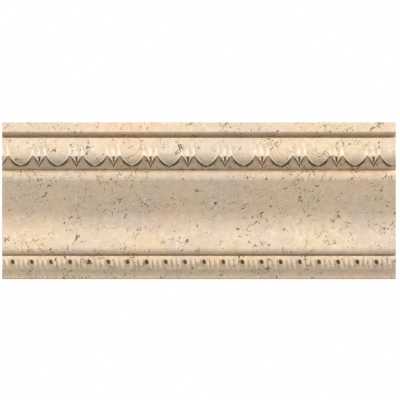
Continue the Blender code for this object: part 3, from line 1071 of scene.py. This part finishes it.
def travertine(colours):
    """Honed cream travertine: clouds, painted highlight and shade, hairline veins and open pores.
    """
    material = bpy.data.materials.new("travertine")
    material.use_nodes = True
    tree = material.node_tree
    shader = tree.nodes["Principled BSDF"]
    shader.location = (900, 0)
    shader.inputs["Specular IOR Level"].default_value = 0.5
    shader.inputs["IOR"].default_value = 1.5
    where = add_node(tree, "ShaderNodeTexCoord", (-1600, 0)).outputs["Object"]
    clouds, veins = cloud_group(), vein_group()

    colour = clouded_stone(tree, where, clouds, veins, colours)
    colour = painted_highlight_and_shade(tree, where, colour, colours)
    fleck = place_group(
        tree, clouds, (-1200, 300), where, Size=0.004, Low=0.3, High=0.75, Shift=4.1
    )
    shade = math_node(tree, "MULTIPLY_ADD", (-900, 100), fleck, 0.12, 0.94)
    tint = add_node(tree, "ShaderNodeVectorMath", (-300, 400), operation="SCALE")
    tree.links.new(colour, tint.inputs[0])
    tree.links.new(shade, tint.inputs["Scale"])
    hairlines = place_group(
        tree, veins, (-1200, -100), where, Size=0.045, Width=0.0060, Bareness=0.50, Shift=0.9
    )
    vein_share = math_node(tree, "MULTIPLY", (-500, 0), hairlines, VEIN_SHARE)
    colour = mix_colour(tree, (-100, 300), vein_share, tint.outputs[0], colours.vein)
    marks = open_marks(tree, where)
    mark_share = math_node(tree, "MULTIPLY", (-200, -200), marks, PORE_SHARE)
    colour = mix_colour(tree, (200, 300), mark_share, colour, colours.pore)
    tree.links.new(colour, shader.inputs["Base Color"])

    polish = math_node(tree, "MULTIPLY_ADD", (-100, 0), fleck, 0.10, 0.36)
    rough = math_node(tree, "MAXIMUM", (200, 0), polish, marks)
    tree.links.new(rough, shader.inputs["Roughness"])

    grain = noise_node(tree, (-600, -900), where, scale=900.0, detail=4.0, roughness=0.6)
    fine = math_node(tree, "MULTIPLY", (-300, -900), grain.outputs["Fac"], 0.05)
    height = math_node(tree, "SUBTRACT", (0, -700), fine, marks)
    bump = add_node(tree, "ShaderNodeBump", (500, -500))
    bump.inputs["Strength"].default_value = 0.35
    bump.inputs["Distance"].default_value = 0.5 * MM
    tree.links.new(height, bump.inputs["Height"])
    tree.links.new(bump.outputs["Normal"], shader.inputs["Normal"])
    return material


class CORNICE_OT_add_moulding(bpy.types.Operator):
    """Model the carved length of cornice and give it its stone"""

    bl_idname = "cornice.add_moulding"
    bl_label = "Add moulding"

    def execute(self, context):
        sizes = context.scene.cornice_sizes
        crown, cyma, foot = crown_section(), cyma_section(), foot_section()
        back = [(0.0, HEIGHT * part) for part in np.linspace(1.0, 0.0, 13)]
        parts = [
            lay_strip("crown", crown, deep=(FILLET_RECESS,)),
            lay_strip("cyma", cyma, deep=(ROLL_RECESS, NOSE_RECESS)),
            lay_strip("foot", foot), lay_strip("back", back),
            egg_and_dart(sizes), beads_and_reels(sizes),
        ]
        gaps = (
            (crown[-1], (float(plain_face_out(QUIRK_DROP)), QUIRK_DROP)),
            ((GROUND_NOTCH_OUT, GROUND_FOOT_DROP), cyma[0]),
            (cyma[-1], (float(astragal_out(ASTRAGAL_DROP)), ASTRAGAL_DROP)),
            ((float(astragal_out(ASTRAGAL_FOOT_DROP)), ASTRAGAL_FOOT_DROP), foot[0]),
        )
        moulding = join(parts, "carved_cornice")
        close_block(moulding, gaps)
        bpy.ops.object.select_all(action="DESELECT")
        moulding.select_set(True)
        context.view_layer.objects.active = moulding
        bpy.ops.object.shade_smooth_by_angle(angle=EDGE_ANGLE)
        moulding.data.materials.clear()
        moulding.data.materials.append(travertine(context.scene.cornice_colours))
        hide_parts(NODE)
        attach(moulding, "root")
        return {"FINISHED"}


def studio_world(fill):
    """White behind the object, with an even softer light for everything that it lights."""
    world = bpy.data.worlds.new("studio")
    bpy.context.scene.world = world
    world.use_nodes = True
    tree = world.node_tree
    lighting = tree.nodes["Background"]
    lighting.inputs["Color"].default_value = (1.0, 1.0, 1.0, 1.0)
    lighting.inputs["Strength"].default_value = fill
    backdrop = add_node(tree, "ShaderNodeBackground", (0, -200))
    backdrop.inputs["Color"].default_value = (1.0, 1.0, 1.0, 1.0)
    backdrop.inputs["Strength"].default_value = 1.0
    path = add_node(tree, "ShaderNodeLightPath", (0, 300))
    choose = add_node(tree, "ShaderNodeMixShader", (300, 0))
    tree.links.new(path.outputs["Is Camera Ray"], choose.inputs["Fac"])
    tree.links.new(lighting.outputs["Background"], choose.inputs[1])
    tree.links.new(backdrop.outputs["Background"], choose.inputs[2])
    tree.links.new(choose.outputs["Shader"], tree.nodes["World Output"].inputs["Surface"])


class CORNICE_OT_add_stage(bpy.types.Operator):
    """Add the pale floor, the studio light and the camera"""

    bl_idname = "cornice.add_stage"
    bl_label = "Add studio"

    def execute(self, context):
        colours = context.scene.cornice_colours
        middle = (LOW + HIGH) / 2.0
        bpy.ops.object.select_all(action="DESELECT")
        bpy.ops.mesh.primitive_plane_add(size=6.0, location=(0.0, 0.0, LOW.z - FLOOR_GAP))
        floor = context.object
        floor.name = "studio_floor"
        paint = bpy.data.materials.new("pale_floor")
        paint.use_nodes = True
        tree = paint.node_tree
        shader = tree.nodes["Principled BSDF"]
        shader.inputs["Roughness"].default_value = 0.9
        path = add_node(tree, "ShaderNodeLightPath", (-600, 0))
        tone = mix_colour(
            tree, (-300, 0), path.outputs["Is Camera Ray"], colours.floor_bounce, colours.floor
        )
        tree.links.new(tone, shader.inputs["Base Color"])
        floor.data.materials.append(paint)

        studio_world(colours.fill)
        bpy.ops.object.light_add(type="SUN", location=(0.6, -1.0, 0.8))
        key = context.object
        key.name = "key_light"
        key.data.energy = colours.key
        key.data.angle = LIGHT_SOFTNESS
        toward = Vector((
            math.sin(LIGHT_SIDEWAYS) * math.cos(LIGHT_UPWARD),
            -math.cos(LIGHT_SIDEWAYS) * math.cos(LIGHT_UPWARD),
            math.sin(LIGHT_UPWARD),
        ))
        key.rotation_euler = toward.to_track_quat("Z", "Y").to_euler()

        bpy.ops.object.camera_add(rotation=(math.radians(90.0), 0.0, 0.0))
        camera = context.object
        camera.name = "camera"
        camera.data.type = "ORTHO"
        camera.data.ortho_scale = PICTURE_WIDTH
        camera.location = (middle.x + PICTURE_ASIDE, LOW.y - 1.0, middle.z + PICTURE_ABOVE)
        context.scene.camera = camera
        context.scene.view_settings.view_transform = "Standard"
        return {"FINISHED"}


class CORNICE_PT_panel(bpy.types.Panel):
    """Sidebar panel with the cornice's operators, sizes and colours"""

    bl_idname = "CORNICE_PT_panel"
    bl_label = "Cornice"
    bl_space_type = "VIEW_3D"
    bl_region_type = "UI"
    bl_category = "Cornice"

    def draw(self, context):
        layout = self.layout
        layout.operator("cornice.add_moulding")
        layout.operator("cornice.add_stage")
        for group in (context.scene.cornice_sizes, context.scene.cornice_colours):
            for name in group.__annotations__:
                layout.prop(group, name)


CLASSES = (
    CorniceSizes, CorniceColours, CORNICE_OT_add_moulding, CORNICE_OT_add_stage, CORNICE_PT_panel,
)


def register():
    """Adds the classes, and the sizes and colours to every scene."""
    for item in CLASSES:
        bpy.utils.register_class(item)
    bpy.types.Scene.cornice_sizes = PointerProperty(type=CorniceSizes)
    bpy.types.Scene.cornice_colours = PointerProperty(type=CorniceColours)


def unregister():
    """Takes away all that register adds."""
    del bpy.types.Scene.cornice_colours
    del bpy.types.Scene.cornice_sizes
    for item in reversed(CLASSES):
        bpy.utils.unregister_class(item)


def main():
    """Builds the studio and the moulding."""
    register()
    bpy.ops.cornice.add_stage()
    bpy.ops.cornice.add_moulding()


if __name__ == "__main__":
    main()
